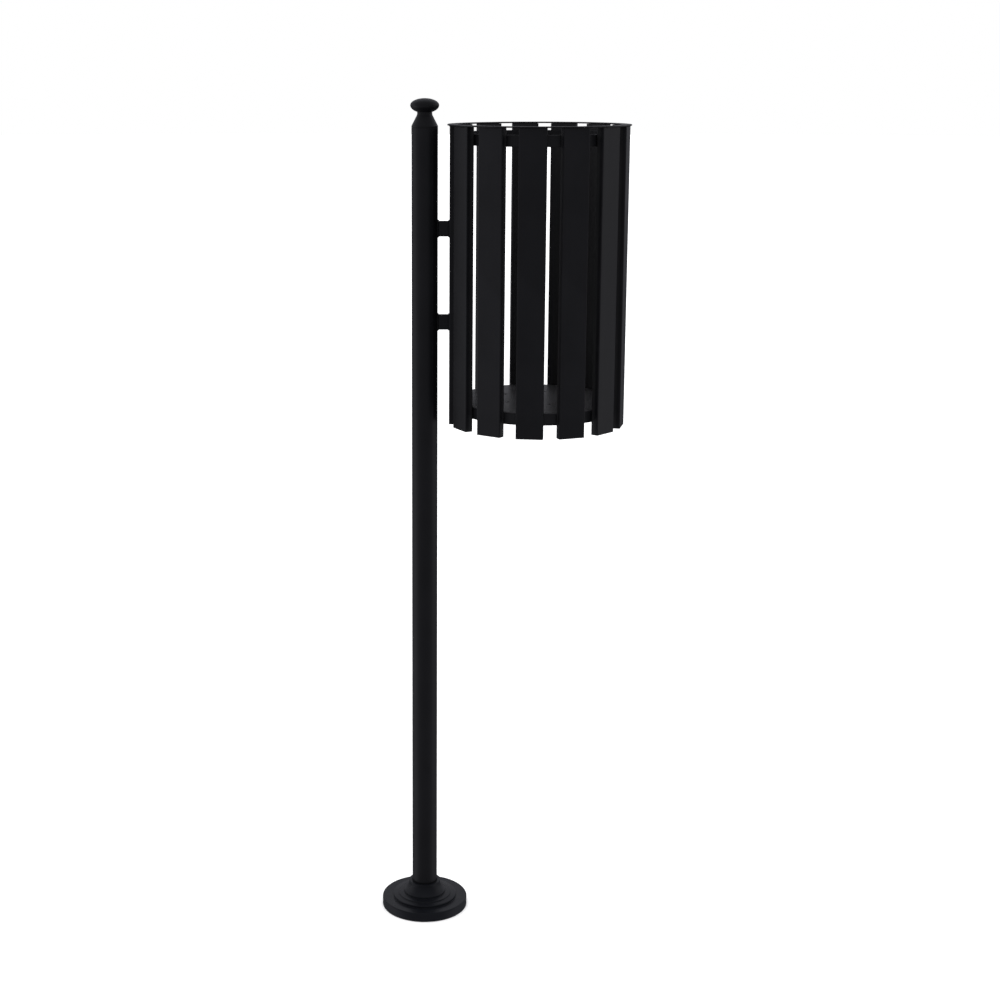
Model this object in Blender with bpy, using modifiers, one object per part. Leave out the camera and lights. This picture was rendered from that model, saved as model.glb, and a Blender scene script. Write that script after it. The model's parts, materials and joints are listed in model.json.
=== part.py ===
"""Litter bin: a round slatted basket held beside a capped pole that stands in a cast base.

Units are metres and +Z is up. The origin is the centre of the base's underside, on the ground. The basket
stands off the pole along +X, the front is -Y, and the rear, with the set screws, is +Y.
"""

import math

import bmesh
import bpy

# Driving dimensions.
FIT_GAP = 0.0003  # clearance between two pieces that meet
SHARP_ANGLE = math.radians(35)

POLE_RADIUS = 0.0212
POLE_WALL = 0.0026
POLE_TOP = 1.3370

BASE_RADIUS = 0.0731
BASE_FLANGE_HEIGHT = 0.0156
BASE_EDGE_RADIUS = 0.0018
BASE_FOOT_CHAMFER = 0.0006
BASE_TIER_RADIUS = 0.0544
BASE_TIER_HEIGHT = 0.0196
BASE_TIER_EDGE = 0.0012
BASE_TIER_SLOPE = 0.0014  # rise of the tier's top from its edge to the step
BASE_STEP_RADIUS = 0.0455
BASE_STEP_HEIGHT = 0.0226
BASE_STEP_EDGE = 0.0006
BASE_STEP_SLOPE = 0.0010  # rise of the step's top from its edge to the flare
FLARE_RADIUS = 0.0362
FLARE_HEIGHT = 0.0268
FLARE_SAG = 0.0008  # how far the flare curves in from a straight cone
COLLAR_RADIUS = 0.0270
COLLAR_TOP = 0.0445
COLLAR_STRAIGHT = 0.0060  # upright part of the collar above its flare
COLLAR_EDGE = 0.0010
SOCKET_FLOOR = 0.0080
ANCHOR_COUNT = 4
ANCHOR_CIRCLE_RADIUS = 0.0560
ANCHOR_HOLE_RADIUS = 0.0034  # tapping size for M8
ANCHOR_HOLE_DEPTH = 0.0110

FINIAL_TOP = 1.3834
FINIAL_CAP_RADIUS = 0.0231
FINIAL_CAP_MIDDLE = 1.3724  # height of the cap's widest line
FINIAL_CAP_UNDER = 0.0125  # depth of the ellipse below the widest line
FINIAL_NECK_RADIUS = 0.0120
FINIAL_NECK_TOP = 1.3616
FINIAL_NECK_BOTTOM = 1.3578
FINIAL_CONE_RADIUS = 0.0186
FINIAL_CONE_FOOT = 1.3448
FINIAL_SHOULDER = 1.3400
FINIAL_SPIGOT_LENGTH = 0.0200

BASKET_OFFSET = 0.1827  # pole axis to basket axis
SLAT_COUNT = 13
SLAT_FACE_RADIUS = 0.1428  # basket axis to a slat's outer face
SLAT_WIDTH = 0.0432
SLAT_DEPTH = 0.0131
SLAT_WALL = 0.0012
SLAT_CORNER = 0.0016  # over the wall, so the bore keeps a rounded corner
SLAT_LENGTH = 0.4816

RIM_TOP = 1.3429
RING_OUTER_RADIUS = 0.1466
RING_WIDTH = 0.0161
RING_THICKNESS = 0.0021
RING_EDGE = 0.0005

HOOP_HEIGHT = 0.0180
HOOP_THICKNESS = 0.0030
HOOP_EDGE = 0.0004
UPPER_HOOP_DROP = 0.0108  # slat top to hoop top
LOWER_HOOP_RISE = 0.0200  # slat bottom to hoop bottom

FLOOR_THICKNESS = 0.0020
FLOOR_EDGE = 0.0004
DRAIN_COUNT = 5
DRAIN_CIRCLE_RADIUS = 0.0600
DRAIN_HOLE_RADIUS = 0.0030

ARM_HEIGHT = 0.0250
ARM_THICKNESS = 0.0060
ARM_EDGE = 0.0006
ARM_SPACING = 0.1516  # between the centres of the two arms
ARM_MIDDLE = 1.1009  # halfway between them

COLLAR_SCREW_RADIUS = 0.0025
COLLAR_SCREW_LENGTH = 0.0050
COLLAR_SCREW_HEIGHT = 0.0405
COLLAR_SCREW_AZIMUTHS = {"left": math.radians(125), "right": math.radians(55)}
FINIAL_SCREW_RADIUS = 0.0025
FINIAL_SCREW_LENGTH = 0.0065
FINIAL_SCREW_DROP = 0.0100  # below the top of the pole
REAR = math.radians(90)
HEX_SHARE = 0.58  # corner radius of a screw's hexagon socket, as a share of the screw's radius
HEX_DEPTH = 0.0025

# Worked out from the driving dimensions.
SOCKET_RADIUS = POLE_RADIUS + FIT_GAP
POLE_BORE_RADIUS = POLE_RADIUS - POLE_WALL
SLAT_TOP = RIM_TOP - RING_THICKNESS - FIT_GAP
SLAT_BOTTOM = SLAT_TOP - SLAT_LENGTH
HOOP_OUTER_RADIUS = SLAT_FACE_RADIUS - SLAT_DEPTH - FIT_GAP
UPPER_HOOP_TOP = SLAT_TOP - UPPER_HOOP_DROP
LOWER_HOOP_TOP = SLAT_BOTTOM + LOWER_HOOP_RISE + HOOP_HEIGHT
FLOOR_TOP = LOWER_HOOP_TOP + FIT_GAP + FLOOR_THICKNESS
FINIAL_SCREW_HEIGHT = POLE_TOP - FINIAL_SCREW_DROP
ARM_END = BASKET_OFFSET - SLAT_FACE_RADIUS - FIT_GAP

# Facets round each kind of piece. The basket's rings take a whole number to each slat.
BASKET_STEPS = 8 * SLAT_COUNT
POLE_STEPS = 48
BASE_STEPS = 56
FINIAL_STEPS = 40
HOLE_STEPS = 16


def clear_scene():
    for obj in list(bpy.data.objects):
        bpy.data.objects.remove(obj, do_unlink=True)


def new_collection(name):
    collection = bpy.data.collections.new(name)
    bpy.context.scene.collection.children.link(collection)
    return collection


def coating(name, color, roughness, metallic=0.0):
    """A plain Principled material for one kind of piece."""
    material = bpy.data.materials.new(name)
    material.use_nodes = True
    shader = material.node_tree.nodes["Principled BSDF"]
    shader.inputs["Base Color"].default_value = (*color, 1.0)
    shader.inputs["Roughness"].default_value = roughness
    shader.inputs["Metallic"].default_value = metallic
    material.diffuse_color = (*color, 1.0)
    return material


def new_object(name, data, collection, parent=None, location=(0, 0, 0), rotation=(0, 0, 0)):
    obj = bpy.data.objects.new(name, data)
    collection.objects.link(obj)
    obj.parent = parent
    obj.location = location
    obj.rotation_euler = rotation
    return obj


def settle(obj, material):
    """Applies the object's modifiers, shades it smooth up to its sharp edges and gives it its material."""
    bpy.context.view_layer.update()
    graph = bpy.context.evaluated_depsgraph_get()
    mesh = bpy.data.meshes.new_from_object(obj.evaluated_get(graph))
    mesh.name = obj.name
    obj.modifiers.clear()
    obj.data = mesh
    mesh.shade_smooth()
    mesh.set_sharp_from_angle(angle=SHARP_ANGLE)
    mesh.materials.clear()
    mesh.materials.append(material)
    return obj


def arc(center, radii, start, end, segments):
    """Points along an ellipse in the (radius, height) plane; angles in degrees from outward towards up."""
    points = []
    for i in range(segments + 1):
        angle = math.radians(start + (end - start) * i / segments)
        across = center[0] + radii[0] * math.cos(angle)
        up = center[1] + radii[1] * math.sin(angle)
        points.append((across, up))
    return points


def ring_section(inner, outer, bottom, top, edge):
    """A rectangle with chamfered corners, running down its outer side and up its inner one."""
    return [
        (outer - edge, top),
        (outer, top - edge),
        (outer, bottom + edge),
        (outer - edge, bottom),
        (inner + edge, bottom),
        (inner, bottom + edge),
        (inner, top - edge),
        (inner + edge, top),
    ]


def turned(name, profile, steps, collection, parent, closed=False):
    """Spins a profile of (radius, height) points about the parent's upright axis."""
    count = len(profile)
    edges = [(i, i + 1) for i in range(count - 1)]
    if closed:
        edges.append((count - 1, 0))
    mesh = bpy.data.meshes.new(name)
    mesh.from_pydata([(radius, 0.0, height) for radius, height in profile], edges, [])
    obj = new_object(name, mesh, collection, parent)
    screw = obj.modifiers.new("turn", "SCREW")
    screw.axis = "Z"
    screw.angle = math.tau
    screw.steps = steps
    screw.render_steps = steps
    screw.use_merge_vertices = True
    screw.merge_threshold = 0.00005
    return obj


def cylinder_mesh(name, radius, length, segments=HOLE_STEPS):
    """A closed upright cylinder, or a prism for few segments, centred on its origin."""
    mesh = bpy.data.meshes.new(name)
    builder = bmesh.new()
    bmesh.ops.create_cone(
        builder, cap_ends=True, segments=segments, radius1=radius, radius2=radius, depth=length
    )
    builder.to_mesh(mesh)
    builder.free()
    return mesh


def box_mesh(name, size, open_ends=False):
    """A box centred on its origin, without its top and bottom faces where open_ends is set."""
    mesh = bpy.data.meshes.new(name)
    builder = bmesh.new()
    bmesh.ops.create_cube(builder, size=1.0)
    bmesh.ops.scale(builder, vec=size, verts=builder.verts)
    if open_ends:
        ends = [face for face in builder.faces if abs(face.normal.z) > 0.5]
        bmesh.ops.delete(builder, geom=ends, context="FACES_ONLY")
    builder.to_mesh(mesh)
    builder.free()
    return mesh


def around(radius, angle, height):
    return (radius * math.cos(angle), radius * math.sin(angle), height)


def lying_out(angle):
    """The rotation that turns an upright piece to point outwards at this angle about Z."""
    return (0.0, math.pi / 2, angle)


def cutter(name, mesh, collection, parent, location, rotation=(0, 0, 0)):
    obj = new_object(name, mesh, collection, parent, location, rotation)
    obj.hide_render = True
    obj.display_type = "WIRE"
    return obj


def cut(target, tool):
    boolean = target.modifiers.new(tool.name, "BOOLEAN")
    boolean.operation = "DIFFERENCE"
    boolean.object = tool


def screw_hole(name, radius, inner, outer, angle, height, cutters, axis):
    """A cutter for the hole that a set screw sits in, between two distances from the pole's axis."""
    mesh = cylinder_mesh(name, radius + FIT_GAP, outer - inner)
    middle = around((inner + outer) / 2, angle, height)
    return cutter(name, mesh, cutters, axis, middle, lying_out(angle))


def set_screw(name, radius, inner, length, angle, height, parts, cutters, axis, material):
    """A headless screw with a hexagon socket in its outer end."""
    mesh = cylinder_mesh(name, radius, length)
    middle = around(inner + length / 2, angle, height)
    screw = new_object(name, mesh, parts, axis, middle, lying_out(angle))
    hexagon = cylinder_mesh(name + "_hexagon", radius * HEX_SHARE, 2 * HEX_DEPTH, 6)
    end = around(inner + length, angle, height)
    cut(screw, cutter(name + "_hexagon", hexagon, cutters, axis, end, lying_out(angle)))
    return settle(screw, material)


def flare_points(top, foot, sag, segments):
    """A cone from the collar down to the steps, curved in a little between its ends."""
    points = []
    for i in range(segments + 1):
        t = i / segments
        curve = sag * math.sin(math.pi * t)
        across = top[0] + (foot[0] - top[0]) * t - curve
        up = top[1] + (foot[1] - top[1]) * t - curve
        points.append((across, up))
    return points


def base_profile():
    """The cast base's section: the pole's socket, its collar and flare, two steps and the flange."""
    straight_foot = COLLAR_TOP - COLLAR_STRAIGHT
    step_inner_top = BASE_STEP_HEIGHT + BASE_STEP_SLOPE
    tier_inner_top = BASE_TIER_HEIGHT + BASE_TIER_SLOPE
    collar_corner = (COLLAR_RADIUS - COLLAR_EDGE, COLLAR_TOP - COLLAR_EDGE)
    step_corner = (BASE_STEP_RADIUS - BASE_STEP_EDGE, BASE_STEP_HEIGHT - BASE_STEP_EDGE)
    tier_corner = (BASE_TIER_RADIUS - BASE_TIER_EDGE, BASE_TIER_HEIGHT - BASE_TIER_EDGE)
    flange_corner = (BASE_RADIUS - BASE_EDGE_RADIUS, BASE_FLANGE_HEIGHT - BASE_EDGE_RADIUS)
    points = [(0.0, SOCKET_FLOOR), (SOCKET_RADIUS, SOCKET_FLOOR), (SOCKET_RADIUS, COLLAR_TOP)]
    points += arc(collar_corner, (COLLAR_EDGE, COLLAR_EDGE), 90, 0, 2)
    points += flare_points((COLLAR_RADIUS, straight_foot), (FLARE_RADIUS, FLARE_HEIGHT), FLARE_SAG, 5)
    points.append((FLARE_RADIUS, step_inner_top))
    points += arc(step_corner, (BASE_STEP_EDGE, BASE_STEP_EDGE), 90, 0, 2)
    points.append((BASE_STEP_RADIUS, tier_inner_top))
    points += arc(tier_corner, (BASE_TIER_EDGE, BASE_TIER_EDGE), 90, 0, 3)
    points.append((BASE_TIER_RADIUS, BASE_FLANGE_HEIGHT))
    points += arc(flange_corner, (BASE_EDGE_RADIUS, BASE_EDGE_RADIUS), 90, 0, 3)
    points.append((BASE_RADIUS, BASE_FOOT_CHAMFER))
    points.append((BASE_RADIUS - BASE_FOOT_CHAMFER, 0.0))
    points.append((0.0, 0.0))
    return points


def make_base(parts, cutters, axis):
    base = turned("base_flange", base_profile(), BASE_STEPS, parts, axis)
    for i in range(ANCHOR_COUNT):
        angle = math.tau * (i + 0.5) / ANCHOR_COUNT
        mesh = cylinder_mesh("anchor_hole", ANCHOR_HOLE_RADIUS, 2 * ANCHOR_HOLE_DEPTH)
        place = around(ANCHOR_CIRCLE_RADIUS, angle, 0.0)
        half_facet = (0.0, 0.0, math.pi / HOLE_STEPS)
        cut(base, cutter(f"anchor_hole_{i + 1}", mesh, cutters, axis, place, half_facet))
    for side, angle in COLLAR_SCREW_AZIMUTHS.items():
        hole = screw_hole(
            f"collar_hole_{side}",
            COLLAR_SCREW_RADIUS,
            POLE_RADIUS - POLE_WALL,
            COLLAR_RADIUS + POLE_WALL,
            angle,
            COLLAR_SCREW_HEIGHT,
            cutters,
            axis,
        )
        cut(base, hole)
    return settle(base, coating("base_coat", (0.030, 0.031, 0.035), 0.42))


def make_collar_screws(parts, cutters, axis):
    material = coating("screw_steel", (0.06, 0.06, 0.065), 0.38, metallic=0.8)
    for side, angle in COLLAR_SCREW_AZIMUTHS.items():
        set_screw(
            f"collar_screw_{side}",
            COLLAR_SCREW_RADIUS,
            POLE_RADIUS + FIT_GAP,
            COLLAR_SCREW_LENGTH,
            angle,
            COLLAR_SCREW_HEIGHT,
            parts,
            cutters,
            axis,
            material,
        )
    return material


def finial_hole(cutters, axis):
    inner = POLE_RADIUS - FINIAL_SCREW_LENGTH - FIT_GAP
    return screw_hole(
        "finial_hole",
        FINIAL_SCREW_RADIUS,
        inner,
        POLE_RADIUS + POLE_WALL,
        REAR,
        FINIAL_SCREW_HEIGHT,
        cutters,
        axis,
    )


def make_pole(hole, parts, axis):
    section = ring_section(POLE_BORE_RADIUS, POLE_RADIUS, SOCKET_FLOOR + FIT_GAP, POLE_TOP, HOOP_EDGE)
    pole = turned("pole_tube", section, POLE_STEPS, parts, axis, closed=True)
    cut(pole, hole)
    return settle(pole, coating("pole_coat", (0.014, 0.014, 0.016), 0.36))


def finial_profile():
    """The turned finial: domed cap, narrow neck, coned shoulder and the spigot that enters the pole."""
    seat = POLE_TOP + FIT_GAP
    spigot = POLE_BORE_RADIUS - FIT_GAP
    cap_middle = (0.0, FINIAL_CAP_MIDDLE)
    neck_angle = math.degrees(math.acos(FINIAL_NECK_RADIUS / FINIAL_CAP_RADIUS))
    shoulder_radii = (POLE_RADIUS - FINIAL_CONE_RADIUS, FINIAL_CONE_FOOT - FINIAL_SHOULDER)
    shoulder_center = (FINIAL_CONE_RADIUS, FINIAL_SHOULDER)
    points = arc(cap_middle, (FINIAL_CAP_RADIUS, FINIAL_TOP - FINIAL_CAP_MIDDLE), 90, 0, 7)
    points += arc(cap_middle, (FINIAL_CAP_RADIUS, FINIAL_CAP_UNDER), 0, -neck_angle, 6)[1:]
    points.append((FINIAL_NECK_RADIUS, FINIAL_NECK_TOP))
    points.append((FINIAL_NECK_RADIUS, FINIAL_NECK_BOTTOM))
    points += arc(shoulder_center, shoulder_radii, 60, 0, 4)
    points.append((POLE_RADIUS, seat))
    points.append((spigot, seat))
    points.append((spigot, seat - FINIAL_SPIGOT_LENGTH))
    points.append((0.0, seat - FINIAL_SPIGOT_LENGTH))
    return points


def make_finial(hole, parts, axis):
    finial = turned("pole_finial", finial_profile(), FINIAL_STEPS, parts, axis)
    cut(finial, hole)
    return settle(finial, coating("finial_coat", (0.016, 0.016, 0.018), 0.34))


def make_finial_screw(parts, cutters, axis, material):
    inner = POLE_RADIUS - FINIAL_SCREW_LENGTH
    set_screw(
        "finial_screw",
        FINIAL_SCREW_RADIUS,
        inner,
        FINIAL_SCREW_LENGTH,
        REAR,
        FINIAL_SCREW_HEIGHT,
        parts,
        cutters,
        axis,
        material,
    )


def make_arms(parts, cutters, axis):
    """Two upright flat bars from the pole to the slat beside it, coped to the pole's curve."""
    material = coating("arm_coat", (0.013, 0.013, 0.015), 0.38)
    length = ARM_END - POLE_RADIUS / 2
    cope = cylinder_mesh("pole_cope", POLE_RADIUS + FIT_GAP, 2 * ARM_SPACING, POLE_STEPS)
    cope_tool = cutter("pole_cope", cope, cutters, axis, (0.0, 0.0, ARM_MIDDLE))
    for name, side in (("upper_arm", 1), ("lower_arm", -1)):
        mesh = box_mesh(name, (length, ARM_THICKNESS, ARM_HEIGHT))
        height = ARM_MIDDLE + side * ARM_SPACING / 2
        arm = new_object(name, mesh, parts, axis, (ARM_END - length / 2, 0.0, height))
        bevel = arm.modifiers.new("edges", "BEVEL")
        bevel.width = ARM_EDGE
        bevel.segments = 1
        cut(arm, cope_tool)
        settle(arm, material)


def make_rings(parts, axis):
    """The flat rim ring on the slats, and the two upright hoops inside them."""
    inner = RING_OUTER_RADIUS - RING_WIDTH
    section = ring_section(inner, RING_OUTER_RADIUS, RIM_TOP - RING_THICKNESS, RIM_TOP, RING_EDGE)
    ring = turned("top_ring", section, BASKET_STEPS, parts, axis, closed=True)
    settle(ring, coating("ring_coat", (0.022, 0.022, 0.024), 0.36))
    material = coating("hoop_coat", (0.012, 0.012, 0.013), 0.40)
    inner = HOOP_OUTER_RADIUS - HOOP_THICKNESS
    for name, top in (("upper_hoop", UPPER_HOOP_TOP), ("lower_hoop", LOWER_HOOP_TOP)):
        section = ring_section(inner, HOOP_OUTER_RADIUS, top - HOOP_HEIGHT, top, HOOP_EDGE)
        settle(turned(name, section, BASKET_STEPS, parts, axis, closed=True), material)


def make_floor(parts, cutters, axis):
    """A flat disc on the lower hoop, with a circle of drain holes."""
    bottom = FLOOR_TOP - FLOOR_THICKNESS
    profile = [
        (0.0, FLOOR_TOP),
        (HOOP_OUTER_RADIUS - FLOOR_EDGE, FLOOR_TOP),
        (HOOP_OUTER_RADIUS, FLOOR_TOP - FLOOR_EDGE),
        (HOOP_OUTER_RADIUS, bottom + FLOOR_EDGE),
        (HOOP_OUTER_RADIUS - FLOOR_EDGE, bottom),
        (0.0, bottom),
    ]
    floor = turned("floor_disc", profile, BASKET_STEPS, parts, axis)
    for i in range(DRAIN_COUNT):
        mesh = cylinder_mesh("drain_hole", DRAIN_HOLE_RADIUS, 4 * FLOOR_THICKNESS)
        place = around(DRAIN_CIRCLE_RADIUS, math.tau * i / DRAIN_COUNT, FLOOR_TOP)
        cut(floor, cutter(f"drain_hole_{i + 1}", mesh, cutters, axis, place))
    return settle(floor, coating("floor_coat", (0.030, 0.030, 0.033), 0.42))


def make_slats(parts, axis):
    """Upright hollow slats round the basket. The first faces the pole, and the rest follow anticlockwise."""
    first = None
    for i in range(SLAT_COUNT):
        angle = math.pi + math.tau * i / SLAT_COUNT
        place = around(SLAT_FACE_RADIUS - SLAT_DEPTH / 2, angle, SLAT_TOP - SLAT_LENGTH / 2)
        name = f"slat_{i + 1:02d}"
        if first:
            new_object(name, first.data, parts, axis, place, (0, 0, angle))
            continue
        mesh = box_mesh(name, (SLAT_DEPTH, SLAT_WIDTH, SLAT_LENGTH), open_ends=True)
        first = new_object(name, mesh, parts, axis, place, (0, 0, angle))
        bevel = first.modifiers.new("corners", "BEVEL")
        bevel.width = SLAT_CORNER
        bevel.segments = 3
        wall = first.modifiers.new("wall", "SOLIDIFY")
        wall.thickness = SLAT_WALL
        wall.offset = -1
        wall.use_even_offset = True
        settle(first, coating("slat_coat", (0.014, 0.014, 0.016), 0.36))


def main():
    clear_scene()
    parts = new_collection("litter_bin")
    cutters = new_collection("cutters")
    pole_axis = new_object("pole_axis", None, parts)
    basket_axis = new_object("basket_axis", None, parts, location=(BASKET_OFFSET, 0, 0))
    hole = finial_hole(cutters, pole_axis)
    make_base(parts, cutters, pole_axis)
    screw_material = make_collar_screws(parts, cutters, pole_axis)
    make_pole(hole, parts, pole_axis)
    make_finial(hole, parts, pole_axis)
    make_finial_screw(parts, cutters, pole_axis, screw_material)
    make_arms(parts, cutters, pole_axis)
    make_rings(parts, basket_axis)
    make_floor(parts, cutters, basket_axis)
    make_slats(parts, basket_axis)


main()
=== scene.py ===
import json
import math

import bmesh
import bpy
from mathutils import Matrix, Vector, noise

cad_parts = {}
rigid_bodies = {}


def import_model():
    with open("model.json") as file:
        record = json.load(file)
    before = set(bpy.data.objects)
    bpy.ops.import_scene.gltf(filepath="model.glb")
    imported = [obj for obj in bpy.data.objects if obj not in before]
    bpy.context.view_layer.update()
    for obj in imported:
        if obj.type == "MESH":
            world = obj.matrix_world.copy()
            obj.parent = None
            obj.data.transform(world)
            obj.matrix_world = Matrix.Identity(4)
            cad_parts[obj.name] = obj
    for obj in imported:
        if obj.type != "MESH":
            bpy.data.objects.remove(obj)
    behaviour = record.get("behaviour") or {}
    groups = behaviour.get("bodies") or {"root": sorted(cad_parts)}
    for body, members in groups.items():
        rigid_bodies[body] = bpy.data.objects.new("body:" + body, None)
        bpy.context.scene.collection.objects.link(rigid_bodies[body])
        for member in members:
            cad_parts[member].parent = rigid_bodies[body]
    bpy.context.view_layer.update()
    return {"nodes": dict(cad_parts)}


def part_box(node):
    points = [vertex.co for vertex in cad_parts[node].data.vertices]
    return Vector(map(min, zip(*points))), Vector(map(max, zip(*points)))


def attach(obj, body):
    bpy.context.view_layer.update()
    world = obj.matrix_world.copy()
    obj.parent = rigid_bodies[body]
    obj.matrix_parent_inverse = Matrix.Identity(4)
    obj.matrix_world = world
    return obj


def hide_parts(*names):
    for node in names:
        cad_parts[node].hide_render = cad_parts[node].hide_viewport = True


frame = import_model()

# Places and sizes, in metres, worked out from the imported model.
POLE_LOW, POLE_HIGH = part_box("pole_tube")
BASE_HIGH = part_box("base_flange")[1]
FINIAL_LOW, FINIAL_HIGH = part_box("pole_finial")
RING_LOW, RING_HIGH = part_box("top_ring")
SLAT_LOW, SLAT_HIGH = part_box("slat_01")
FLOOR_LOW, FLOOR_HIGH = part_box("floor_disc")
POLE_RADIUS = POLE_HIGH.x
BASE_RADIUS = BASE_HIGH.x
COLLAR_TOP = BASE_HIGH.z
BASKET_X = (RING_LOW.x + RING_HIGH.x) / 2
RING_RADIUS = (RING_HIGH.x - RING_LOW.x) / 2
SLAT_DEPTH = SLAT_HIGH.x - SLAT_LOW.x
SLAT_WIDTH = SLAT_HIGH.y - SLAT_LOW.y
SLAT_LENGTH = SLAT_HIGH.z - SLAT_LOW.z
SLAT_FACE_RADIUS = BASKET_X - SLAT_LOW.x
SLAT_COUNT = sum(name.startswith("slat_") for name in frame["nodes"])

# Details that a node's box doesn't give, in metres.
FIT_GAP = 0.0003  # between two pieces that meet
POLE_WALL = 0.0026
POLE_EDGE = 0.0004
SLAT_WALL = 0.0012
SLAT_CORNER = 0.0016  # over the wall, so that the inner corners stay round
RING_WIDTH = 0.0161
HOOP_WALL = 0.0030
BAND_EDGE = 0.0006  # fillets of the ring and the hoops
ARM_EDGE = 0.0007
COPE_GAP = 0.0001  # between an arm's coped end and the pole
COPE_CUT = 0.1000  # that cutter's height, well past the arm
CUT_EDGE = 0.0003  # rounds the rims of holes and open ends
FLANGE_HEIGHT = 0.0156
TIER_RADIUS = 0.0544
TIER_HEIGHT = 0.0196
TIER_SLOPE = 0.0014
STEP_RADIUS = 0.0455
STEP_HEIGHT = 0.0226
STEP_SLOPE = 0.0010
FLARE_RADIUS = 0.0362
FLARE_HEIGHT = 0.0268
FLARE_SAG = 0.0008
COLLAR_RADIUS = 0.0270
COLLAR_STRAIGHT = 0.0060
SOCKET_FLOOR = 0.0080
SOCKET_RADIUS = POLE_RADIUS + FIT_GAP
ANCHOR_COUNT = 4
ANCHOR_CIRCLE = 0.0560
ANCHOR_RADIUS = 0.0034
ANCHOR_DEPTH = 0.0110
ANCHOR_TURN = 0.04  # keeps the holes' sides out of line with the base's own edges
DRAIN_COUNT = 5
DRAIN_CIRCLE = 0.0600
DRAIN_RADIUS = 0.0030
DRAIN_CUT = 0.0100  # a cutter's length, well through the floor
SPIGOT_LENGTH = 0.0200
CAP_MIDDLE = 1.3724
CAP_UNDER = 0.0125
NECK_RADIUS = 0.0120
NECK_TOP = 1.3616
NECK_BOTTOM = 1.3578
CONE_RADIUS = 0.0186
CONE_FOOT = 1.3448
SHOULDER = 1.3400
COLLAR_SCREWS = ("collar_screw_left", "collar_screw_right")
COLLAR_SCREW_LENGTH = 0.0050
FINIAL_SCREW_LENGTH = 0.0065
SCREW_EDGE = 0.0004
SCREW_CLEARANCE = 0.0002  # round a screw in its hole
SOCKET_SHARE = 0.58  # of a screw's radius, to the corners of its hexagon socket
SOCKET_DEPTH = 0.0025

# Sides of the turned pieces. The rings have a multiple of the slats' number, to match all round.
BASE_SIDES = 144
POLE_SIDES = 128
FINIAL_SIDES = 96
RING_SIDES = 32 * SLAT_COUNT
HOOP_SIDES = 24 * SLAT_COUNT
SCREW_SIDES = 48

SMOOTH_BELOW = math.radians(38)


# Geometry helpers.


def rounded(corners, closed=False, segments=6):
    """Points along (radius, height, fillet) corners. A fillet is a smooth curve across its corner."""
    points = []
    count = len(corners)
    for i, (across, up, fillet) in enumerate(corners):
        corner = Vector((across, up))
        at_end = not closed and i in (0, count - 1)
        if at_end or fillet <= 0:
            points.append(corner)
            continue
        before = Vector(corners[i - 1][:2])
        after = Vector(corners[(i + 1) % count][:2])
        start = corner + (before - corner).normalized() * fillet
        end = corner + (after - corner).normalized() * fillet
        for step in range(segments + 1):
            t = step / segments
            points.append(start * (1 - t) ** 2 + corner * (2 * t * (1 - t)) + end * t * t)
    return points


def ellipse(center, radii, start, end, segments):
    """Points of an elliptical arc; angles in degrees from outward towards up."""
    points = []
    for i in range(segments + 1):
        angle = math.radians(start + (end - start) * i / segments)
        across = center[0] + radii[0] * math.cos(angle)
        up = center[1] + radii[1] * math.sin(angle)
        points.append(Vector((across, up)))
    return points


def link(name, data, location=(0, 0, 0), rotation=(0, 0, 0)):
    """Puts a mesh, lamp or camera in the scene."""
    obj = bpy.data.objects.new(name, data)
    bpy.context.scene.collection.objects.link(obj)
    obj.location = location
    obj.rotation_euler = rotation
    return obj


def turned(name, points, steps, center_x=0.0, closed=False):
    """Spins a profile, which runs down its outer side, about an upright axis."""
    count = len(points)
    edges = [(i, i + 1) for i in range(count - 1)]
    if closed:
        edges.append((count - 1, 0))
    mesh = bpy.data.meshes.new(name)
    mesh.from_pydata([(p.x, 0.0, p.y) for p in points], edges, [])
    obj = link(name, mesh, (center_x, 0, 0))
    screw = obj.modifiers.new("turn", "SCREW")
    screw.axis = "Z"
    screw.angle = math.tau
    screw.steps = steps
    screw.render_steps = steps
    screw.use_merge_vertices = True
    screw.merge_threshold = 0.00001
    return obj


def band(name, inner, outer, bottom, top, fillet, steps, center_x=0.0):
    """A turned ring of rectangular section with rounded edges."""
    corners = [(outer, top), (outer, bottom), (inner, bottom), (inner, top)]
    points = rounded([(*corner, fillet) for corner in corners], closed=True, segments=4)
    return turned(name, points, steps, center_x, closed=True)


def bevel(obj, width, segments=3, angle=50):
    """Rounds the edges that turn by more than the angle, in degrees."""
    modifier = obj.modifiers.new("edges", "BEVEL")
    modifier.width = width
    modifier.segments = segments
    modifier.limit_method = "ANGLE"
    modifier.angle_limit = math.radians(angle)
    modifier.use_clamp_overlap = True


def applied(obj):
    """Bakes the object's modifiers into its mesh, and shades it smooth up to its sharp edges."""
    bpy.context.view_layer.update()
    graph = bpy.context.evaluated_depsgraph_get()
    mesh = bpy.data.meshes.new_from_object(obj.evaluated_get(graph))
    mesh.name = obj.name
    obj.modifiers.clear()
    obj.data = mesh
    mesh.shade_smooth()
    mesh.set_sharp_from_angle(angle=SMOOTH_BELOW)
    return obj


def flat_faces_stay_flat(obj):
    """Weighs shading normals by face area, so that large flat faces don't look domed."""
    modifier = obj.modifiers.new("normals", "WEIGHTED_NORMAL")
    modifier.keep_sharp = True


def prism(radius, depth, segments):
    """The mesh of an upright cylinder or prism about its own middle."""
    mesh = bpy.data.meshes.new("prism")
    builder = bmesh.new()
    bmesh.ops.create_cone(
        builder, cap_ends=True, segments=segments, radius1=radius, radius2=radius, depth=depth
    )
    builder.to_mesh(mesh)
    builder.free()
    return mesh


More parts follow.
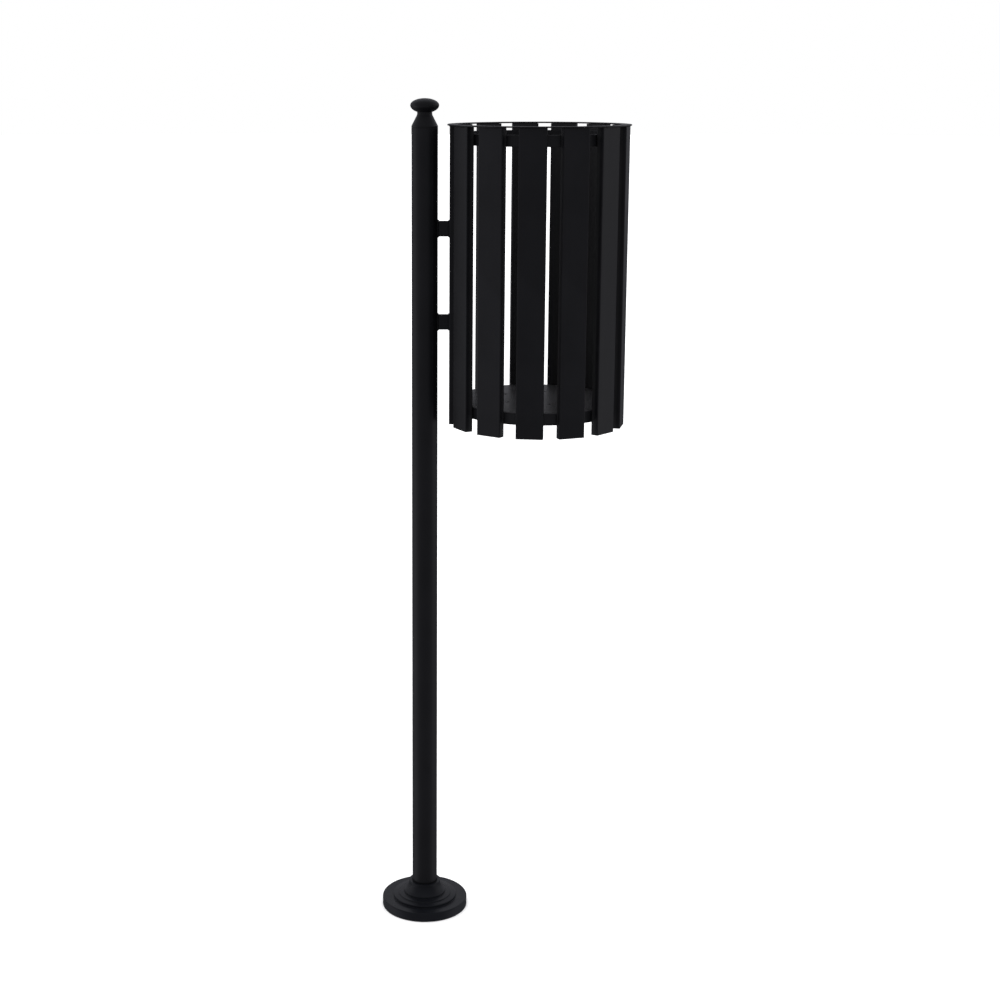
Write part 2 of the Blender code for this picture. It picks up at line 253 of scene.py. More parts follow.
def block(size, open_ends=False):
    """The mesh of a box about its own middle, with or without its top and bottom."""
    mesh = bpy.data.meshes.new("block")
    builder = bmesh.new()
    bmesh.ops.create_cube(builder, size=1.0)
    bmesh.ops.scale(builder, vec=size, verts=builder.verts)
    if open_ends:
        ends = [face for face in builder.faces if abs(face.normal.z) > 0.5]
        bmesh.ops.delete(builder, geom=ends, context="FACES_ONLY")
    builder.to_mesh(mesh)
    builder.free()
    return mesh


def around(radius, angle, height):
    """The point this far from the Z axis, at this angle from +X."""
    return Vector((radius * math.cos(angle), radius * math.sin(angle), height))


def cut_with(obj, cutters):
    """Cuts the meshes from the object, applies the result and removes the cutters."""
    for tool in cutters:
        boolean = obj.modifiers.new("cut", "BOOLEAN")
        boolean.operation = "DIFFERENCE"
        boolean.object = tool
    applied(obj)
    for tool in cutters:
        bpy.data.objects.remove(tool)


def hole(radius, depth, location, rotation=(0, 0, 0), segments=40):
    """A cutter with its middle at the location, along its own Z axis."""
    return link("hole", prism(radius, depth, segments), location, rotation)


# Material helpers.


def node(tree, kind, inputs=None, **settings):
    """Adds a node. An input is either a value or another node's output socket."""
    made = tree.nodes.new(kind)
    for key, value in settings.items():
        setattr(made, key, value)
    for key, value in (inputs or {}).items():
        if isinstance(value, bpy.types.NodeSocket):
            tree.links.new(value, made.inputs[key])
        else:
            made.inputs[key].default_value = value
    return made


def noise_of(tree, coords, scale, detail=3.0, roughness=0.5):
    """A noise pattern with this many cells to a metre, between 0 and 1."""
    inputs = {"Vector": coords, "Scale": scale, "Detail": detail, "Roughness": roughness}
    return node(tree, "ShaderNodeTexNoise", inputs).outputs["Fac"]


def remap(tree, value, low, high, to_low=0.0, to_high=1.0):
    """Maps low to high onto another range, and holds its ends beyond them."""
    inputs = {"Value": value, "From Min": low, "From Max": high, "To Min": to_low, "To Max": to_high}
    return node(tree, "ShaderNodeMapRange", inputs).outputs["Result"]


def math_of(tree, operation, first, second):
    """A sum, product or the like of two values."""
    return node(tree, "ShaderNodeMath", {0: first, 1: second}, operation=operation).outputs[0]


def mix_of(tree, factor, first, second):
    """Mixes two values."""
    inputs = {"Factor": factor, "A": first, "B": second}
    return node(tree, "ShaderNodeMix", inputs, data_type="FLOAT").outputs["Result"]


def blend(tree, factor, first, second):
    """Mixes two colours."""
    mix = node(tree, "ShaderNodeMix", data_type="RGBA")
    tree.links.new(factor, mix.inputs["Factor"])
    for key, value in (("A", first), ("B", second)):
        socket = next(s for s in mix.inputs if s.name == key and s.type == "RGBA")
        if isinstance(value, bpy.types.NodeSocket):
            tree.links.new(value, socket)
        else:
            socket.default_value = (*value, 1.0)
    return next(s for s in mix.outputs if s.type == "RGBA")


def edge_of(tree, radius):
    """1 on edges and 0 on flat faces: how far the rounded normal leans from the real one."""
    soft = node(tree, "ShaderNodeBevel", {"Radius": radius}, samples=4).outputs["Normal"]
    true = node(tree, "ShaderNodeNewGeometry").outputs["Normal"]
    both = node(tree, "ShaderNodeVectorMath", {0: soft, 1: true}, operation="DOT_PRODUCT")
    return remap(tree, both.outputs["Value"], 0.995, 0.86)


# Colours: what lies on the black coat (dust, painted sheen and a painted teal highlight on level faces),
# its rubbed edges, and the screws' steel.
DUST_AND_SHEEN = (0.24, 0.235, 0.225)
# Painted highlight: the teal of the light that the finial's level top reflects.
TEAL_PAINTED_HIGHLIGHT = (0.09, 0.15, 0.16)
RUBBED_COAT = (0.075, 0.075, 0.078)
STEEL_DARK = (0.035, 0.035, 0.038)
STEEL_WORN = (0.085, 0.083, 0.080)
STEEL_BRIGHT = (0.30, 0.29, 0.28)

# Patterns, in cells to a metre.
CLOUD_CELLS = 11.0
LUMP_CELLS = 90.0
STREAK_CELLS = 130.0
STREAK_SQUEEZE = (1.0, 1.0, 0.08)  # draws the streaks out upright
PEEL_CELLS = 430.0
GRAIN_CELLS = 2100.0
STEEL_CLOUD_CELLS = 240.0
SCRATCH_CELLS = 1900.0

# Relief, and how far rubbing reaches in from an edge, in metres.
LUMP_HEIGHT = 0.00025
PEEL_HEIGHT = 0.000020
GRAIN_HEIGHT = 0.000006
SCRATCH_HEIGHT = 0.000004
COAT_RUB = 0.0012
STEEL_RUB = 0.0003


def powder_coat(name, color, roughness, grain=1.4, dust_and_sheen=0.0, wear=0.35, cast=0.0, inner_painted_grey=0.0, dust_and_sheen_color=DUST_AND_SHEEN):
    """Black polyester powder coat: grain over orange peel, cloudy gloss, rubbed edges, and level faces
    made paler by dust and painted sheen.

    Grain and cast scale the relief of the coat and of a casting's lumps. The dust setting says how far
    level faces turn to their paler colour: settled dust on the base and ring, painted sheen for
    reflected light on the floor disc, and a painted teal highlight on the finial's top. Wear says how
    far edges turn to rubbed grey. Inside is a paler grey painted on a slat's inner side as painted
    light: a slat's own X axis points out of the basket.
    """
    material = bpy.data.materials.new(name)
    material.use_nodes = True
    tree = material.node_tree
    shader = tree.nodes["Principled BSDF"]
    coords = node(tree, "ShaderNodeTexCoord").outputs["Object"]
    drawn_out = node(tree, "ShaderNodeMapping", {"Vector": coords, "Scale": STREAK_SQUEEZE})
    clouds = noise_of(tree, coords, CLOUD_CELLS, 5.0, 0.55)
    streaks = noise_of(tree, drawn_out.outputs["Vector"], STREAK_CELLS, 3.0)
    peel = noise_of(tree, coords, PEEL_CELLS, 2.0)
    grains = noise_of(tree, coords, GRAIN_CELLS, 3.0, 0.6)
    lumps = noise_of(tree, coords, LUMP_CELLS, 4.0, 0.6)
    # Colour: slightly uneven coat, greyer where the edges are rubbed, and paler on level faces with dust
    # and painted sheen.
    paler = tuple(min(1.0, channel * 1.45 + 0.002) for channel in color)
    mottled = blend(tree, remap(tree, clouds, 0.35, 0.7), color, paler)
    # Painted light: a slat's inner side turns to a paler grey, faintly streaked, as if lit inside the
    # basket.
    if inner_painted_grey:
        outward = node(tree, "ShaderNodeSeparateXYZ", {0: coords}).outputs["X"]
        inner_painted_light = remap(tree, streaks, 0.25, 0.75, 0.6, 1.0)
        inner_painted_light = math_of(tree, "MULTIPLY", inner_painted_light, remap(tree, outward, 0.002, -0.002))
        mottled = blend(tree, inner_painted_light, mottled, (inner_painted_grey, inner_painted_grey, inner_painted_grey))
    patches = remap(tree, lumps, 0.45, 0.65, 0.0, wear)
    rubbed = math_of(tree, "MULTIPLY", edge_of(tree, COAT_RUB), patches)
    colored = blend(tree, rubbed, mottled, RUBBED_COAT)
    # Level faces turn paler: dust on some pieces, painted sheen and a painted teal highlight on others.
    normal = node(tree, "ShaderNodeNewGeometry").outputs["Normal"]
    up = node(tree, "ShaderNodeSeparateXYZ", {0: normal}).outputs["Z"]
    level = remap(tree, up, 0.6, 0.98, 0.0, dust_and_sheen)
    dust_and_sheen_mask = math_of(tree, "MULTIPLY", level, remap(tree, lumps, 0.3, 0.7, 0.35, 1.0))
    colored = blend(tree, dust_and_sheen_mask, colored, dust_and_sheen_color)
    tree.links.new(colored, shader.inputs["Base Color"])
    # Gloss: cloudy, with faint upright streaks, duller under dust and painted sheen and shinier on
    # rubbed edges.
    gloss = remap(tree, clouds, 0.3, 0.7, roughness - 0.04, roughness + 0.05)
    gloss = math_of(tree, "ADD", gloss, remap(tree, streaks, 0.3, 0.7, -0.025, 0.03))
    gloss = math_of(tree, "ADD", gloss, math_of(tree, "MULTIPLY", dust_and_sheen_mask, 0.35))
    gloss = math_of(tree, "SUBTRACT", gloss, math_of(tree, "MULTIPLY", rubbed, 0.12))
    tree.links.new(gloss, shader.inputs["Roughness"])
    # Relief, in metres: orange peel and grain, and the casting's lumps where there is one.
    relief = math_of(tree, "MULTIPLY", peel, PEEL_HEIGHT * grain)
    relief = math_of(tree, "ADD", relief, math_of(tree, "MULTIPLY", grains, GRAIN_HEIGHT * grain))
    relief = math_of(tree, "ADD", relief, math_of(tree, "MULTIPLY", lumps, LUMP_HEIGHT * cast))
    bump = node(tree, "ShaderNodeBump", {"Height": relief, "Distance": 1.0, "Strength": 1.0})
    tree.links.new(bump.outputs["Normal"], shader.inputs["Normal"])
    shader.inputs["Metallic"].default_value = 0.0
    shader.inputs["IOR"].default_value = 1.5
    return material


def blackened_steel(name):
    """Set screws: blackened steel, with bright rubbed rims."""
    material = bpy.data.materials.new(name)
    material.use_nodes = True
    tree = material.node_tree
    shader = tree.nodes["Principled BSDF"]
    coords = node(tree, "ShaderNodeTexCoord").outputs["Object"]
    clouds = noise_of(tree, coords, STEEL_CLOUD_CELLS, 4.0)
    scratches = noise_of(tree, coords, SCRATCH_CELLS, 2.0)
    mottled = blend(tree, clouds, STEEL_DARK, STEEL_WORN)
    colored = blend(tree, edge_of(tree, STEEL_RUB), mottled, STEEL_BRIGHT)
    tree.links.new(colored, shader.inputs["Base Color"])
    tree.links.new(remap(tree, clouds, 0.3, 0.7, 0.28, 0.45), shader.inputs["Roughness"])
    relief = math_of(tree, "MULTIPLY", scratches, SCRATCH_HEIGHT)
    bump = node(tree, "ShaderNodeBump", {"Height": relief, "Distance": 1.0, "Strength": 1.0})
    tree.links.new(bump.outputs["Normal"], shader.inputs["Normal"])
    shader.inputs["Metallic"].default_value = 0.9
    return material


COATS = {
    "base_coat": powder_coat("base_coat", (0.019, 0.022, 0.029), 0.30, 1.3, dust_and_sheen=0.03, cast=1.0),
    "pole_coat": powder_coat("pole_coat", (0.025, 0.025, 0.0285), 0.36),
    # Painted highlight: the finial's level top turns teal.
    "finial_coat": powder_coat("finial_coat", (0.022, 0.0225, 0.0245), 0.33, dust_and_sheen=0.10, dust_and_sheen_color=TEAL_PAINTED_HIGHLIGHT),
    "arm_coat": powder_coat("arm_coat", (0.034, 0.034, 0.0375), 0.38),
    "ring_coat": powder_coat("ring_coat", (0.024, 0.024, 0.0265), 0.36, dust_and_sheen=0.03),
    # Painted light: the hoops, in the basket's shade, get a paler copy of the black coat.
    "hoop_coat": powder_coat("hoop_coat", (0.038, 0.038, 0.0415), 0.38),
    # Painted sheen: the floor disc's black coat is given a pale grey, its level face paler still, for
    # the light it reflects.
    "floor_coat": powder_coat("floor_coat", (0.16, 0.16, 0.1625), 0.29, 0.3, dust_and_sheen=0.35, wear=0.4),
    # Painted light: the slats' inner sides are made a paler grey.
    "slat_coat": powder_coat("slat_coat", (0.026, 0.026, 0.0295), 0.36, inner_painted_grey=0.10),
    "screw_steel": blackened_steel("screw_steel"),
}


def place(obj, slot, *nodes):
    """Gives a finished piece its material and its place in the frame."""
    obj.data.materials.clear()
    obj.data.materials.append(COATS[slot])
    flat_faces_stay_flat(obj)
    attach(obj, "root")
    if nodes:
        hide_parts(*nodes)


# The pieces.


def flare_points(top, foot, segments=14):
    """A cone from the collar down to the steps, curved in a little between its ends."""
    points = []
    for i in range(1, segments):
        t = i / segments
        curve = FLARE_SAG * math.sin(math.pi * t)
        across = top[0] + (foot[0] - top[0]) * t - curve
        up = top[1] + (foot[1] - top[1]) * t - curve
        points.append(Vector((across, up)))
    return points


def make_base():
    """The cast base: flange, tier, step, flared collar, the pole's socket and the holes."""
    straight_foot = COLLAR_TOP - COLLAR_STRAIGHT
    step_inner = STEP_HEIGHT + STEP_SLOPE
    tier_inner = TIER_HEIGHT + TIER_SLOPE
    mouth = [
        (0.0, SOCKET_FLOOR, 0.0),
        (SOCKET_RADIUS, SOCKET_FLOOR, 0.0005),
        (SOCKET_RADIUS, COLLAR_TOP - 0.0006, 0.0002),
        (SOCKET_RADIUS + 0.0004, COLLAR_TOP, 0.0002),
        (COLLAR_RADIUS, COLLAR_TOP, 0.0013),
        (COLLAR_RADIUS, straight_foot, 0.0),
    ]
    flare = flare_points((COLLAR_RADIUS, straight_foot), (FLARE_RADIUS, FLARE_HEIGHT))
    foot = [
        (FLARE_RADIUS - 0.0012, FLARE_HEIGHT + 0.0010, 0.0),
        (FLARE_RADIUS, FLARE_HEIGHT - 0.0002, 0.0008),
        (FLARE_RADIUS, step_inner, 0.0006),
        (STEP_RADIUS, STEP_HEIGHT, 0.0008),
        (STEP_RADIUS, tier_inner, 0.0006),
        (TIER_RADIUS, TIER_HEIGHT, 0.0014),
        (TIER_RADIUS, FLANGE_HEIGHT, 0.0008),
        (BASE_RADIUS, FLANGE_HEIGHT, 0.0022),
        (BASE_RADIUS, 0.0, 0.0005),
        (0.0, 0.0, 0.0),
    ]
    base = turned("bin_base", rounded(mouth) + flare + rounded(foot), BASE_SIDES)
    cutters = []
    for i in range(ANCHOR_COUNT):
        spot = around(ANCHOR_CIRCLE, math.tau * (i + 0.5) / ANCHOR_COUNT, 0)
        cutters.append(hole(ANCHOR_RADIUS, 2 * ANCHOR_DEPTH, spot, (0, 0, ANCHOR_TURN)))
    for name in COLLAR_SCREWS:
        low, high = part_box(name)
        middle = (low + high) / 2
        angle = math.atan2(middle.y, middle.x)
        radius = (high.z - low.z) / 2 + SCREW_CLEARANCE
        reach = COLLAR_RADIUS - SOCKET_RADIUS
        spot = around(SOCKET_RADIUS + reach / 2, angle, middle.z)
        cutters.append(hole(radius, 2 * reach, spot, (0, math.pi / 2, angle)))
    cut_with(base, cutters)
    bevel(base, CUT_EDGE, 2)
    place(applied(base), "base_coat", "base_flange")


def make_pole():
    """The tube, with the finial's screw hole at the rear."""
    inner = POLE_RADIUS - POLE_WALL
    pole = band("bin_pole", inner, POLE_RADIUS, POLE_LOW.z, POLE_HIGH.z, POLE_EDGE, POLE_SIDES)
    low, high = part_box("finial_screw")
    radius = (high.z - low.z) / 2 + SCREW_CLEARANCE
    spot = ((low.x + high.x) / 2, POLE_RADIUS, (low.z + high.z) / 2)
    cut_with(pole, [hole(radius, 4 * POLE_WALL, spot, (math.pi / 2, 0, 0))])
    place(pole, "pole_coat", "pole_tube")


def make_finial():
    """The finial: elliptical cap, neck, cone and shoulder, and the spigot in the pole."""
    cap_radius = FINIAL_HIGH.x
    top = ellipse((0, CAP_MIDDLE), (cap_radius, FINIAL_HIGH.z - CAP_MIDDLE), 90, 4, 20)
    neck_angle = math.degrees(math.acos((NECK_RADIUS + 0.0004) / cap_radius))
    under = ellipse((0, CAP_MIDDLE), (cap_radius, CAP_UNDER), -4, -neck_angle, 14)
    spigot = POLE_RADIUS - POLE_WALL - FIT_GAP
    spigot_top = FINIAL_LOW.z + SPIGOT_LENGTH
    body = [
        (*under[-1], 0.0),
        (NECK_RADIUS, NECK_TOP, 0.0005),
        (NECK_RADIUS, NECK_BOTTOM, 0.0022),
        (CONE_RADIUS + 0.0005, CONE_FOOT - 0.0008, 0.0012),
        (POLE_RADIUS, SHOULDER, 0.0016),
        (POLE_RADIUS, spigot_top, 0.0003),
        (spigot, spigot_top, 0.0),
        (spigot, FINIAL_LOW.z, 0.0006),
        (0.0, FINIAL_LOW.z, 0.0),
    ]
    finial = turned("bin_finial", top + under[:-1] + rounded(body), FINIAL_SIDES)
    place(applied(finial), "finial_coat", "pole_finial")


def make_rings():
    """The flat ring on the slats, and the two upright hoops inside them."""
    inner = RING_RADIUS - RING_WIDTH
    shape = (inner, RING_RADIUS, RING_LOW.z, RING_HIGH.z, BAND_EDGE, RING_SIDES, BASKET_X)
    place(applied(band("bin_top_ring", *shape)), "ring_coat", "top_ring")
    for name in ("upper_hoop", "lower_hoop"):
        low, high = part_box(name)
        outer = (high.x - low.x) / 2
        shape = (outer - HOOP_WALL, outer, low.z, high.z, BAND_EDGE, HOOP_SIDES, BASKET_X)
        place(applied(band("bin_" + name, *shape)), "hoop_coat", name)


def make_floor_disc():
    """The basket's floor, with its drain holes."""
    radius = (FLOOR_HIGH.x - FLOOR_LOW.x) / 2
    corners = [
        (0.0, FLOOR_HIGH.z, 0.0),
        (radius, FLOOR_HIGH.z, 0.0005),
        (radius, FLOOR_LOW.z, 0.0005),
        (0.0, FLOOR_LOW.z, 0.0),
    ]
    disc = turned("bin_floor_disc", rounded(corners), HOOP_SIDES, BASKET_X)
    cutters = []
    for i in range(DRAIN_COUNT):
        spot = around(DRAIN_CIRCLE, math.tau * i / DRAIN_COUNT, FLOOR_HIGH.z)
        cutters.append(hole(DRAIN_RADIUS, DRAIN_CUT, spot + Vector((BASKET_X, 0, 0))))
    cut_with(disc, cutters)
    bevel(disc, CUT_EDGE, 2)
    place(applied(disc), "floor_coat", "floor_disc")


def slat_angle(i):
    """A slat's angle about the basket's middle. The first slat faces the pole."""
    return math.pi + math.tau * i / SLAT_COUNT


def make_slats():
    """Rectangular hollow sections with rounded corners and open ends, which all share one mesh."""
    shape = link("bin_slat_01", block((SLAT_DEPTH, SLAT_WIDTH, SLAT_LENGTH), open_ends=True))
    bevel(shape, SLAT_CORNER, 6)
    wall = shape.modifiers.new("wall", "SOLIDIFY")
    wall.thickness = SLAT_WALL
    wall.offset = -1
    wall.use_even_offset = True
    bevel(shape, CUT_EDGE, 2, 60)
    applied(shape)
    middle = (SLAT_LOW.z + SLAT_HIGH.z) / 2
    for i in range(SLAT_COUNT):
        name = f"slat_{i + 1:02d}"
        slat = link("bin_" + name, shape.data) if i else shape
        out = around(SLAT_FACE_RADIUS - SLAT_DEPTH / 2, slat_angle(i), middle)
        slat.location = out + Vector((BASKET_X, 0, 0))
        slat.rotation_euler = (0, 0, slat_angle(i))
        place(slat, "slat_coat", name)


def make_arms():
    """Two flat bars from the pole to the first slat, coped to the pole."""
    for name in ("upper_arm", "lower_arm"):
        low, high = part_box(name)
        reach = high.x - POLE_RADIUS / 2
        center = (high.x - reach / 2, (low.y + high.y) / 2, (low.z + high.z) / 2)
        arm = link("bin_" + name, block((reach, high.y - low.y, high.z - low.z)), center)
        bevel(arm, ARM_EDGE, 3)
        cope = hole(POLE_RADIUS + COPE_GAP, COPE_CUT, (0, 0, center[2]), segments=POLE_SIDES)
        cut_with(arm, [cope])
        place(arm, "arm_coat", name)


def make_set_screws():
    """Headless screws with a chamfered end and a hexagon socket."""
    finial_low, finial_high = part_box("finial_screw")
    finial_inner = min(abs(finial_low.y), abs(finial_high.y))
    screws = [(name, SOCKET_RADIUS, COLLAR_SCREW_LENGTH) for name in COLLAR_SCREWS]
    screws.append(("finial_screw", finial_inner, FINIAL_SCREW_LENGTH))
    for name, inner, length in screws:
        low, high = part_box(name)
        middle = (low + high) / 2
        angle = math.atan2(middle.y, middle.x)
        radius = (high.z - low.z) / 2
        turn = (0, math.pi / 2, angle)
        spot = around(inner + length / 2, angle, middle.z)
        screw = link("bin_" + name, prism(radius, length, SCREW_SIDES), spot, turn)
        bevel(screw, SCREW_EDGE, 2)
        applied(screw)
        end = around(inner + length, angle, middle.z)
        cut_with(screw, [hole(radius * SOCKET_SHARE, 2 * SOCKET_DEPTH, end, turn, 6)])
        place(screw, "screw_steel", name)


# Weld beads: radii, lengths and steps in metres.

BEAD_SIDES = 10
BEAD_RIPPLE = 0.10  # share of the radius
BEAD_WAVE = 2.1  # radians from one point of the path to the next
BEAD_CELLS = 700  # of noise to a metre
BEAD_STEP = 0.0008
BEAD_TAPER = 3  # points of the path over which an open bead narrows
BEAD_SEED = 3.7  # moves the noise on from one bead to the next
POLE_BEAD = 0.0019
ARM_BEAD = 0.0018
HOOP_BEAD = 0.0012
HOOP_BEAD_LENGTH = 0.016
RING_BEAD = 0.0013
RING_BEAD_LENGTH = 0.030
FLOOR_BEAD = 0.0014
FLOOR_BEAD_LENGTH = 0.020
BEAD_DROP = 0.0002  # past the hoop's or the floor's edge that a bead runs along
RING_BEAD_DROP = 0.0001


def add_bead(builder, path, radius, closed=False, seed=0.0):
    """Adds a rippled round bead along the path, tapered at its ends unless it is closed."""
    rings = []
    count = len(path)
    side = None
    for i, point in enumerate(path):
        ahead = path[(i + 1) % count] if closed or i < count - 1 else point
        behind = path[i - 1] if closed or i > 0 else point
        along = (ahead - behind).normalized()
        if side is None:
            side = along.orthogonal().normalized()
        else:
            side = (side - along * side.dot(along)).normalized()
        across = along.cross(side)
        unevenness = noise.noise(point * BEAD_CELLS + Vector((seed, 0, 0)))
        ripple = 1 + BEAD_RIPPLE * math.sin(i * BEAD_WAVE) + BEAD_RIPPLE * unevenness
        taper = 1.0
        if not closed:
            from_end = min(i, count - 1 - i) / BEAD_TAPER
            taper = math.sqrt(max(0.02, 1 - max(0.0, 1 - from_end) ** 2))
        size = radius * ripple * taper
        ring = []
        for k in range(BEAD_SIDES):
            turn = math.tau * k / BEAD_SIDES
            out = side * math.cos(turn) + across * math.sin(turn)
            ring.append(builder.verts.new(point + out * size))
        rings.append(ring)
    pairs = list(zip(rings, rings[1:]))
    if closed:
        pairs.append((rings[-1], rings[0]))
    for first, second in pairs:
        for k in range(BEAD_SIDES):
            after = (k + 1) % BEAD_SIDES
            builder.faces.new((first[k], second[k], second[after], first[after]))
    if not closed:
        builder.faces.new(rings[0])
        builder.faces.new(rings[-1][::-1])


def bead_object(name, beads, slot, closed=False):
    """One piece from all the (path, radius) beads of a kind."""
    builder = bmesh.new()
    for number, (path, radius) in enumerate(beads):
        add_bead(builder, path, radius, closed, number * BEAD_SEED)
    bmesh.ops.recalc_face_normals(builder, faces=builder.faces)
    mesh = bpy.data.meshes.new(name)
    builder.to_mesh(mesh)
    builder.free()
    obj = link(name, mesh)
    mesh.shade_smooth()
    place(obj, slot)


def arc_path(radius, middle_angle, length, height, points=22):
    """An upright-axis arc about the basket's middle."""
    path = []
    for i in range(points):
        angle = middle_angle + (i / (points - 1) - 0.5) * length / radius
        path.append(around(radius, angle, height) + Vector((BASKET_X, 0, 0)))
    return path


def tangent_path(radius, angle, length, height, points=26):
    """A straight run along a slat's face."""
    middle = around(radius, angle, height) + Vector((BASKET_X, 0, 0))
    along = Vector((-math.sin(angle), math.cos(angle), 0))
    return [middle + along * length * (i / (points - 1) - 0.5) for i in range(points)]


def arm_loop(low, high, at_pole):
    """The closed path of a fillet weld round the end of a flat arm."""
    half_y = (high.y - low.y) / 2
    half_z = (high.z - low.z) / 2
    middle_z = (low.z + high.z) / 2
    corners = [(half_y, half_z), (half_y, -half_z), (-half_y, -half_z), (-half_y, half_z)]
    path = []
    for i, (y, z) in enumerate(corners):
        next_y, next_z = corners[(i + 1) % 4]
        steps = max(4, round(math.hypot(next_y - y, next_z - z) / BEAD_STEP))
        for k in range(steps):
            here_y = y + (next_y - y) * k / steps
            here_z = z + (next_z - z) * k / steps
            x = math.sqrt(POLE_RADIUS**2 - here_y**2) if at_pole else high.x + FIT_GAP
            path.append(Vector((x, here_y, middle_z + here_z)))
    return path


def make_welds():
    """Welds round the arms' ends, along the hoops at each slat, under the ring and under the floor."""
    loops = []
    for name in ("upper_arm", "lower_arm"):
        low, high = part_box(name)
        loops.append((arm_loop(low, high, True), POLE_BEAD))
        loops.append((arm_loop(low, high, False), ARM_BEAD))
    bead_object("bin_arm_welds", loops, "arm_coat", closed=True)
    upper_low, upper_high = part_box("upper_hoop")
    lower_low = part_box("lower_hoop")[0]
    hoop_edges = (upper_low.z - BEAD_DROP, upper_high.z + BEAD_DROP, lower_low.z - BEAD_DROP)
    slats_inner = (upper_high.x - upper_low.x) / 2 + FIT_GAP
    under_ring = RING_LOW.z - RING_BEAD_DROP
    hoop_beads = []
    ring_beads = []
    for i in range(SLAT_COUNT):
        angle = slat_angle(i)
        for height in hoop_edges:
            path = arc_path(slats_inner - HOOP_BEAD / 2, angle, HOOP_BEAD_LENGTH, height)
            hoop_beads.append((path, HOOP_BEAD))
        path = tangent_path(SLAT_FACE_RADIUS, angle, RING_BEAD_LENGTH, under_ring)
        ring_beads.append((path, RING_BEAD))
    bead_object("bin_hoop_welds", hoop_beads, "hoop_coat")
    bead_object("bin_ring_welds", ring_beads, "slat_coat")
    under_floor = FLOOR_LOW.z - BEAD_DROP
    floor_beads = []
    for i in range(SLAT_COUNT // 2):
        path = arc_path(slats_inner - HOOP_WALL, slat_angle(2 * i + 0.5), FLOOR_BEAD_LENGTH, under_floor)
        floor_beads.append((path, FLOOR_BEAD))
    bead_object("bin_floor_welds", floor_beads, "hoop_coat")


# The studio.

STUDIO_RADIUS = 40.0
FLOOR_SUN = 4.6
FLOOR_SUN_SPREAD = math.radians(110)
LIGHT_TARGET = (0.12, 0.0, 0.9)

# The surround's strength in each direction.
WORLD_FRONT = 0.122
WORLD_LEFT = 0.205
WORLD_RIGHT = 0.165
WORLD_BACK = 0.310
WORLD_BACK_LOW = 0.105
WORLD_FLOOR_GLOW = 0.17
WORLD_TOP = 0.150


def make_studio_floor():
    """A plain pale floor, which neither lights nor shades the object."""
    mesh = bpy.data.meshes.new("studio_floor")
    builder = bmesh.new()
    bmesh.ops.create_circle(builder, cap_ends=True, segments=64, radius=STUDIO_RADIUS)
    builder.to_mesh(mesh)
    builder.free()
    floor = link("studio_floor", mesh)
    material = bpy.data.materials.new("studio_floor")
    material.use_nodes = True
    tree = material.node_tree
    shader = tree.nodes["Principled BSDF"]
    coords = node(tree, "ShaderNodeTexCoord").outputs["Object"]
    clouds = noise_of(tree, coords, 3.0, 4.0)
    pale = blend(tree, clouds, (0.88, 0.88, 0.88), (0.90, 0.90, 0.90))
    tree.links.new(pale, shader.inputs["Base Color"])
    shader.inputs["Roughness"].default_value = 0.9
    shader.inputs["Specular IOR Level"].default_value = 0.0
    mesh.materials.append(material)
    floor.visible_glossy = False
    floor.visible_diffuse = False
    floor.visible_shadow = False
    return floor


def make_world():
    """A dim, soft surround: darkest in front, brighter to the sides, nearly black underfoot.

    The camera itself sees plain white past the object.
    """
    world = bpy.data.worlds.new("studio")
    world.use_nodes = True
    tree = world.node_tree
    background = tree.nodes["Background"]
    direction = node(tree, "ShaderNodeTexCoord").outputs["Generated"]
    split = node(tree, "ShaderNodeSeparateXYZ", {0: direction})
    across, back, up = (split.outputs[axis] for axis in "XYZ")
    # From the front round to either side, with a glow at the sides below the horizon.
    left = remap(tree, back, -1.0, 0.1, WORLD_FRONT, WORLD_LEFT)
    right = math_of(tree, "POWER", remap(tree, back, -1.0, 0.3), 1.6)
    right = remap(tree, right, 0.0, 1.0, WORLD_FRONT, WORLD_RIGHT)
    sides = mix_of(tree, remap(tree, across, -0.25, 0.25), left, right)
    aside = remap(tree, math_of(tree, "ABSOLUTE", across, 0.0), 0.70, 0.90)
    glow = math_of(tree, "MULTIPLY", aside, remap(tree, up, -0.19, -0.37, 0.0, WORLD_FLOOR_GLOW))
    sides = math_of(tree, "ADD", sides, glow)
    # Behind, overhead and underfoot.
    behind = remap(tree, up, -0.15, 0.20, WORLD_BACK_LOW, WORLD_BACK)
    surround = mix_of(tree, remap(tree, back, 0.0, 0.7), sides, behind)
    surround = mix_of(tree, remap(tree, up, 0.6, 0.95), surround, WORLD_TOP)
    surround = math_of(tree, "MULTIPLY", surround, remap(tree, up, -0.92, -0.6, 0.05, 1.0))
    seen = node(tree, "ShaderNodeLightPath").outputs["Is Camera Ray"]
    tree.links.new(mix_of(tree, seen, surround, 1.0), background.inputs["Strength"])
    tree.links.new(blend(tree, seen, (0.98, 0.985, 1.07), (1.0, 1.0, 1.0)), background.inputs["Color"])
    bpy.context.scene.world = world


def aim(obj, target):
    """Turns a lamp to face the target."""
    obj.rotation_mode = "QUATERNION"
    obj.rotation_quaternion = (Vector(target) - obj.location).to_track_quat("-Z", "Y")


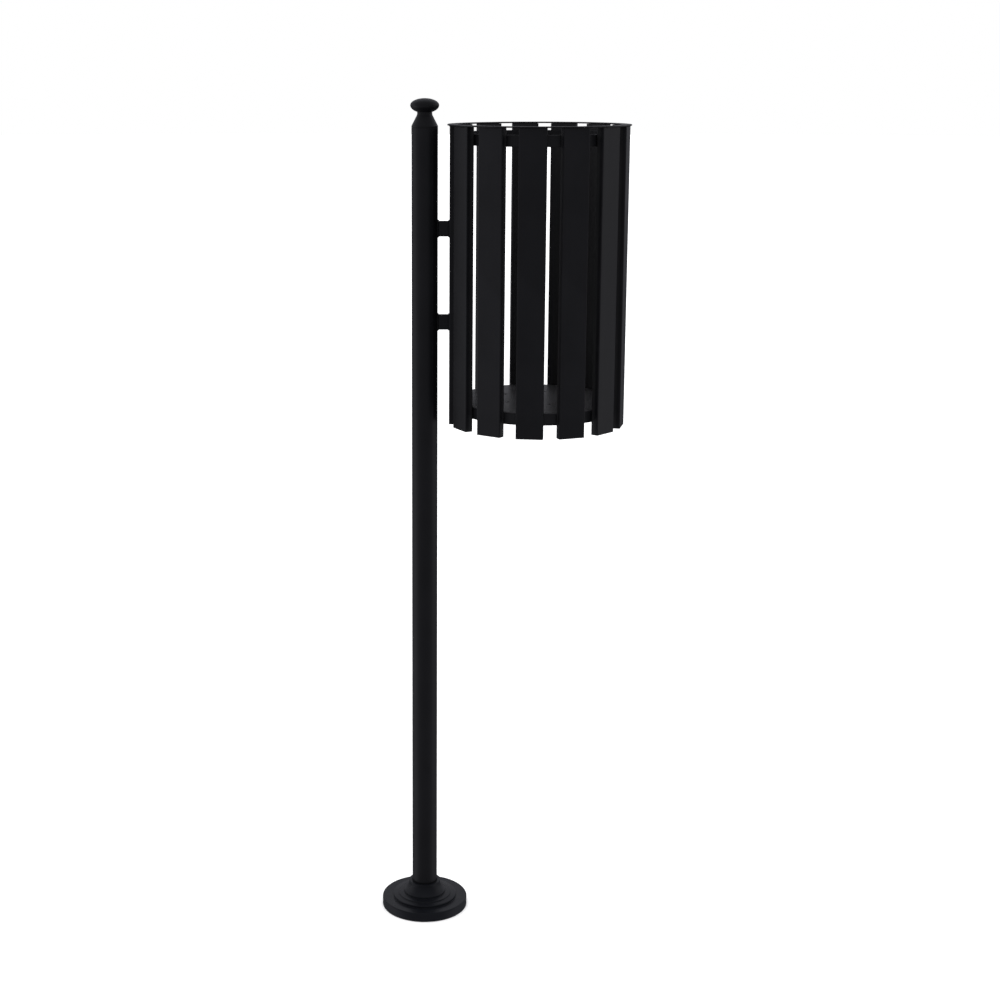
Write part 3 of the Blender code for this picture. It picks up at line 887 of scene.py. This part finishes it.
def make_lights(floor):
    """A wide sun that lights only the floor, and soft boxes that light only the object."""
    lamp = bpy.data.lights.new("floor_light", "SUN")
    lamp.energy = FLOOR_SUN
    lamp.angle = FLOOR_SUN_SPREAD
    sun = link("floor_light", lamp, (0, 0, 4))
    only_floor = bpy.data.collections.new("floor_only")
    only_floor.objects.link(floor)
    sun.light_linking.receiver_collection = only_floor
    everything_else = bpy.data.collections.new("object_only")
    for obj in bpy.context.scene.objects:
        if obj.type == "MESH" and obj is not floor:
            everything_else.objects.link(obj)
    # Each soft box's place, its width and height, and its power in watts.
    soft_boxes = {
        "left_box": ((-3.0, 0.40, 0.9), (2.0, 3.4), 2.9),
        "right_box": ((3.0, 0.35, 1.3), (1.9, 3.2), 2.4),
        "top_box": ((0.1, 1.4, 3.4), (2.4, 2.0), 0.6),
    }
    for name, (spot, size, power) in soft_boxes.items():
        lamp = bpy.data.lights.new(name, "AREA")
        lamp.shape = "RECTANGLE"
        lamp.size, lamp.size_y = size
        lamp.energy = power
        box = link(name, lamp, spot)
        aim(box, LIGHT_TARGET)
        box.light_linking.receiver_collection = everything_else


# The camera, a little above the rim, looking slightly down and a touch round from square to the arms.

CAMERA_DISTANCE = 2.7868
CAMERA_HEIGHT = 1.4194
CAMERA_TURN = math.radians(0.677)
CAMERA_PITCH = math.radians(11.81)
CAMERA_LENS = 61.98
CAMERA_SENSOR = 36.0
CAMERA_SHIFT = (0.0753, -0.0651)


def make_camera():
    """The camera, aimed by its pitch and turn, with a small shift that frames the object."""
    data = bpy.data.cameras.new("camera")
    data.lens = CAMERA_LENS
    data.sensor_width = CAMERA_SENSOR
    data.shift_x, data.shift_y = CAMERA_SHIFT
    data.clip_end = 200.0
    spot = around(CAMERA_DISTANCE, CAMERA_TURN - math.pi / 2, CAMERA_HEIGHT)
    camera = link("camera", data, spot, (math.pi / 2 - CAMERA_PITCH, 0, CAMERA_TURN))
    bpy.context.scene.camera = camera


make_camera()
make_base()
make_pole()
make_finial()
make_rings()
make_floor_disc()
make_slats()
make_arms()
make_set_screws()
make_welds()
make_world()
make_lights(make_studio_floor())
bpy.context.scene.view_settings.view_transform = "Standard"

bpy.context.view_layer.update()
